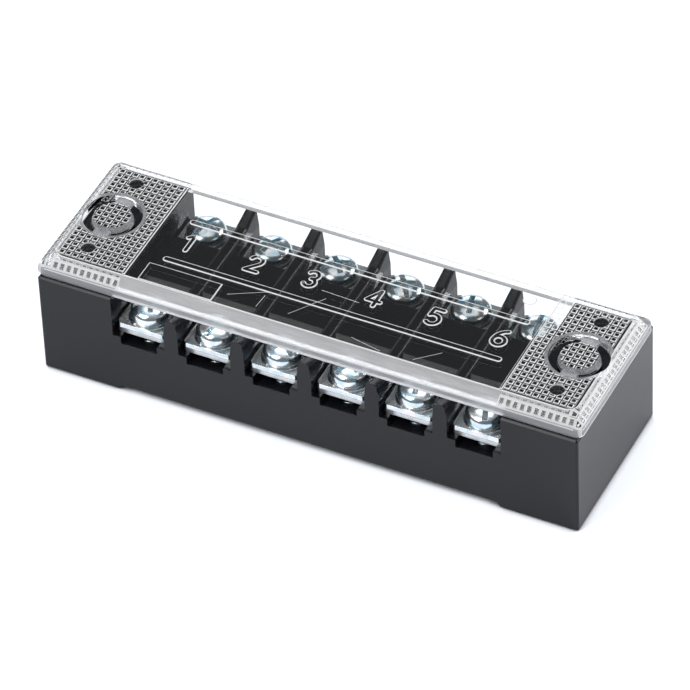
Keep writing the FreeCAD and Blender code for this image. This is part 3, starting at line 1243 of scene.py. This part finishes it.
    def build(self) -> bpy.types.Object:
        """Make the cover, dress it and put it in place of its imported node."""
        cover = self.outer_block()
        sides = (-1, 1)
        combine(cover, [self.knurled_blanket(side) for side in sides], "UNION")
        combine(cover, [self.pad_ridge(side) for side in sides], "UNION")
        combine(cover, [self.cavity()], "DIFFERENCE")
        self.paint_foot_highlight(cover)
        for side in sides:
            self.well(cover, side)
        combine(cover, self.panel_marks(), "UNION")
        self.scratch(cover)
        settle(cover, smooth_below=20.0)
        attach(cover, "cover")
        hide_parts("cover")
        return cover


@dataclass
class TerminalScrew:
    """Domed screw with a slot, a cross recess and a cut thread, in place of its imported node."""

    head_radius: float = 3.2
    head_height: float = 2.3
    edge_height: float = 0.8
    edge_round: float = 0.18
    root_radius: float = 1.66
    crest_radius: float = 1.95
    tip_chamfer: float = 0.5
    thread_pitch: float = 0.7
    thread_turns: int = 8
    thread_start: float = 0.75
    thread_flank: float = 0.42
    thread_sink: float = 0.1
    thread_flats: int = 20
    slot_width: float = 0.8
    slot_depth: float = 0.75
    cross_span: float = 4.0
    cross_depth: float = 1.3
    cross_inset: float = 0.02
    round_steps: int = 64
    dome_steps: int = 12

    def turned(self, foot: float, seat: float) -> bmesh.types.BMesh:
        """Head and shank, spun as one profile round Z.

        Args:
            foot: Level of the screw's end.
            seat: Level of the underside of the head.

        Returns:
            The closed shape.
        """
        crown = self.head_height - self.edge_height
        dome = []
        for part in range(1, self.dome_steps):
            lean = math.radians(90 * part / self.dome_steps)
            level = seat + self.edge_height + crown * math.sin(lean)
            dome.append((self.head_radius * math.cos(lean), level))
        places = [
            (0.0, foot),
            (self.root_radius - self.tip_chamfer, foot),
            (self.root_radius, foot + self.tip_chamfer),
            (self.root_radius, seat),
            (self.head_radius - self.edge_round, seat),
            (self.head_radius, seat + self.edge_round),
            (self.head_radius, seat + self.edge_height),
            *dome,
            (0.0, seat + self.head_height),
        ]
        bm = bmesh.new()
        verts = [bm.verts.new((reach, 0.0, level)) for reach, level in places]
        edges = [bm.edges.new(pair) for pair in zip(verts, verts[1:])]
        bmesh.ops.spin(
            bm,
            geom=verts + edges,
            cent=(0, 0, 0),
            axis=(0, 0, 1),
            angle=math.tau,
            steps=self.round_steps,
            use_merge=True,
            use_duplicate=False,
        )
        bmesh.ops.remove_doubles(bm, verts=bm.verts, dist=MERGE)
        bmesh.ops.recalc_face_normals(bm, faces=bm.faces)
        return bm

    def thread(self, foot: float) -> bmesh.types.BMesh:
        """Helical ridge of the thread.

        Args:
            foot: Level of the screw's end.

        Returns:
            The ridge, sunk a little into the shank.
        """
        bm = bmesh.new()
        reach = self.thread_pitch * self.thread_flank
        start = foot + self.thread_start
        sunk = self.root_radius - self.thread_sink
        places = [(sunk, start - reach), (self.crest_radius, start), (sunk, start + reach)]
        verts = [bm.verts.new((radius, 0.0, level)) for radius, level in places]
        face = bm.faces.new(verts)
        steps = self.thread_flats * self.thread_turns
        bmesh.ops.spin(
            bm,
            geom=verts + list(face.edges) + [face],
            cent=(0, 0, 0),
            axis=(0, 0, 1),
            dvec=(0, 0, self.thread_pitch * self.thread_turns / steps),
            angle=math.tau * self.thread_turns,
            steps=steps,
            use_merge=False,
            use_duplicate=False,
        )
        bmesh.ops.recalc_face_normals(bm, faces=bm.faces)
        return bm

    def build(self, node: str, turn: float) -> bpy.types.Object:
        """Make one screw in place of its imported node.

        Args:
            node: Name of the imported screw.
            turn: Direction of the slot, in degrees from X.

        Returns:
            The finished screw.
        """
        low, high = node_box(node)
        seat = high.z - self.head_height
        screw = linked_object(node + "_turned", self.turned(low.z, seat))
        half = self.slot_width / 2
        thin = half - self.cross_inset
        reach = self.head_radius + 1
        span = self.cross_span / 2
        over = high.z + 1
        slot_floor = high.z - self.slot_depth
        cross_floor = high.z - self.cross_depth
        cuts = [
            block_mesh(Vector((-reach, -half, slot_floor)), Vector((reach, half, over))),
            block_mesh(Vector((-span, -thin, cross_floor)), Vector((span, thin, over))),
            block_mesh(Vector((-half, -span, cross_floor)), Vector((half, span, over))),
        ]
        combine(screw, [linked_object("recess", cut) for cut in cuts], "DIFFERENCE")
        bm = self.thread(low.z)
        bm.from_mesh(screw.data)
        centre = (low + high) / 2
        turned = Matrix.Rotation(math.radians(turn), 3, "Z")
        bmesh.ops.rotate(bm, cent=(0, 0, 0), matrix=turned, verts=bm.verts)
        bmesh.ops.translate(bm, vec=(centre.x, centre.y, 0), verts=bm.verts)
        bm.to_mesh(screw.data)
        bm.free()
        settle(screw, smooth_below=25.0)
        dress(screw, SCREW_PLATING.material())
        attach(screw, node)
        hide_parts(node)
        return screw


@dataclass
class Terminals:
    """Screws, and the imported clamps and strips, which keep their solids and get their finishes here."""

    slot_turns: tuple[tuple[float, ...], tuple[float, ...]] = (
        (25.0, 80.0, -35.0, 60.0, 10.0, -70.0),
        (70.0, -20.0, 40.0, -55.0, 15.0, -80.0),
    )

    def build(self) -> None:
        """Make the screws and dress every other metal node."""
        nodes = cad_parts
        screw = TerminalScrew()
        for row, turns in zip(Row, self.slot_turns):
            for pole, turn in enumerate(turns, start=1):
                dress(nodes["%s_clamp_%d" % (row.label, pole)], CLAMP_PLATING.material())
                made = screw.build("%s_screw_%d" % (row.label, pole), turn)
                LOG.info("%s: %d faces", made.name, len(made.data.polygons))
        for pole in range(1, len(self.slot_turns[0]) + 1):
            dress(nodes["strip_%d" % pole], STRIP_PLATING.material())


@dataclass(frozen=True)
class Lamp:
    """Soft rectangular lamp that faces the object, where a radiance of 1 is white."""

    name: str
    place: Place
    size: Plan
    radiance: float
    aim: Place = (0.0, 0.0, 10.0)

    def build(self) -> None:
        """Hang the lamp."""
        data = bpy.data.lights.new(self.name, "AREA")
        data.shape = "RECTANGLE"
        data.size = self.size[0] * MILLIMETRE
        data.size_y = self.size[1] * MILLIMETRE
        data.energy = self.radiance * math.pi * data.size * data.size_y
        lamp = bpy.data.objects.new(self.name, data)
        place = Vector(self.place)
        lamp.location = place * MILLIMETRE
        lamp.rotation_euler = (Vector(self.aim) - place).to_track_quat("-Z", "Y").to_euler()
        bpy.context.scene.collection.objects.link(lamp)


@dataclass
class Studio:
    """Pale floor, white surroundings, soft lamps and the camera."""

    aim: Place = (0.6995, -1.4081, 11.0)
    distance: float = 906.86
    azimuth: float = 27.5935
    elevation: float = 42.8036
    roll: float = -2.6175
    lens: float = 308.663
    sensor: float = 36.0
    clip: Plan = (0.01, 50.0)
    floor_half: float = 3000.0
    mirrored_sky: float = 0.12
    glass_sky: float = 0.05
    ambient: float = 0.06
    dim_sky: Colour = (0.85, 0.94, 1.0)
    lamps: tuple[Lamp, ...] = (
        Lamp("overhead", (-70.0, 110.0, 740.0), (640.0, 580.0), 1.6),
        Lamp("rear", (-380.0, 700.0, 250.0), (640.0, 340.0), 1.3),
        Lamp("key", (-280.0, -430.0, 620.0), (380.0, 380.0), 4.6),
        Lamp("left", (-700.0, -250.0, 330.0), (260.0, 420.0), 2.4),
        Lamp("right", (640.0, -150.0, 330.0), (260.0, 380.0), 2.2),
        Lamp("rear_right", (480.0, 480.0, 420.0), (340.0, 340.0), 6.0),
    )

    def camera(self) -> None:
        """Place the camera where the photograph was taken from."""
        azimuth = math.radians(self.azimuth)
        elevation = math.radians(self.elevation)
        back = Vector(
            (
                math.sin(azimuth) * math.cos(elevation),
                -math.cos(azimuth) * math.cos(elevation),
                math.sin(elevation),
            )
        )
        data = bpy.data.cameras.new("camera")
        data.lens = self.lens
        data.sensor_width = self.sensor
        data.clip_start, data.clip_end = self.clip
        camera = bpy.data.objects.new("camera", data)
        turn = (-back).to_track_quat("-Z", "Y").to_matrix()
        twist = Matrix.Rotation(math.radians(self.roll), 3, "Z")
        place = (Vector(self.aim) + back * self.distance) * MILLIMETRE
        camera.matrix_world = Matrix.Translation(place) @ (turn @ twist).to_4x4()
        bpy.context.scene.collection.objects.link(camera)
        bpy.context.scene.camera = camera

    def floor(self) -> None:
        """Lay the floor."""
        bm = bmesh.new()
        bmesh.ops.create_grid(bm, x_segments=1, y_segments=1, size=self.floor_half)
        floor = linked_object("floor", bm)
        settle(floor)
        dress(floor, PALE_FLOOR.material())

    def world(self) -> None:
        """White to the camera, pale to metal and glass, and dim grey to everything else."""
        world = bpy.data.worlds.new("studio")
        world.use_nodes = True
        wires = ShaderTree(world.node_tree)
        white = wires.node("ShaderNodeBackground", Color=(*WHITE, 1.0), Strength=1.0)
        dim = wires.node("ShaderNodeBackground", Color=(*self.dim_sky, 1.0), Strength=self.ambient)
        rays = wires.node("ShaderNodeLightPath").outputs
        through = rays["Is Transmission Ray"]
        off_gloss = wires.math("SUBTRACT", rays["Is Glossy Ray"], through, use_clamp=True)
        mirrored = wires.math("MULTIPLY", off_gloss, self.mirrored_sky)
        through_glass = wires.math("MULTIPLY", through, self.glass_sky)
        indirect = wires.math("MAXIMUM", mirrored, through_glass)
        seen = wires.math("MAXIMUM", rays["Is Camera Ray"], indirect)
        skies = (dim.outputs["Background"], white.outputs["Background"])
        mix = wires.node("ShaderNodeMixShader", seen, *skies)
        wires.node("ShaderNodeOutputWorld", mix.outputs["Shader"])
        bpy.context.scene.world = world

    def build(self) -> None:
        """Set the whole studio up."""
        self.camera()
        self.floor()
        self.world()
        for lamp in self.lamps:
            lamp.build()
        bpy.context.scene.view_settings.view_transform = "Standard"


def main() -> None:
    """Build the studio and every piece, and report each one."""
    logging.basicConfig(level=logging.INFO, format="%(message)s")
    Studio().build()
    dress(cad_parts["base"], BLACK_MOULDING.material())
    LOG.info("base dressed")
    Terminals().build()
    LOG.info("terminals dressed")
    cover = CoverShell().build()
    LOG.info("%s: %d faces", cover.name, len(cover.data.polygons))


if __name__ == "__main__":
    main()
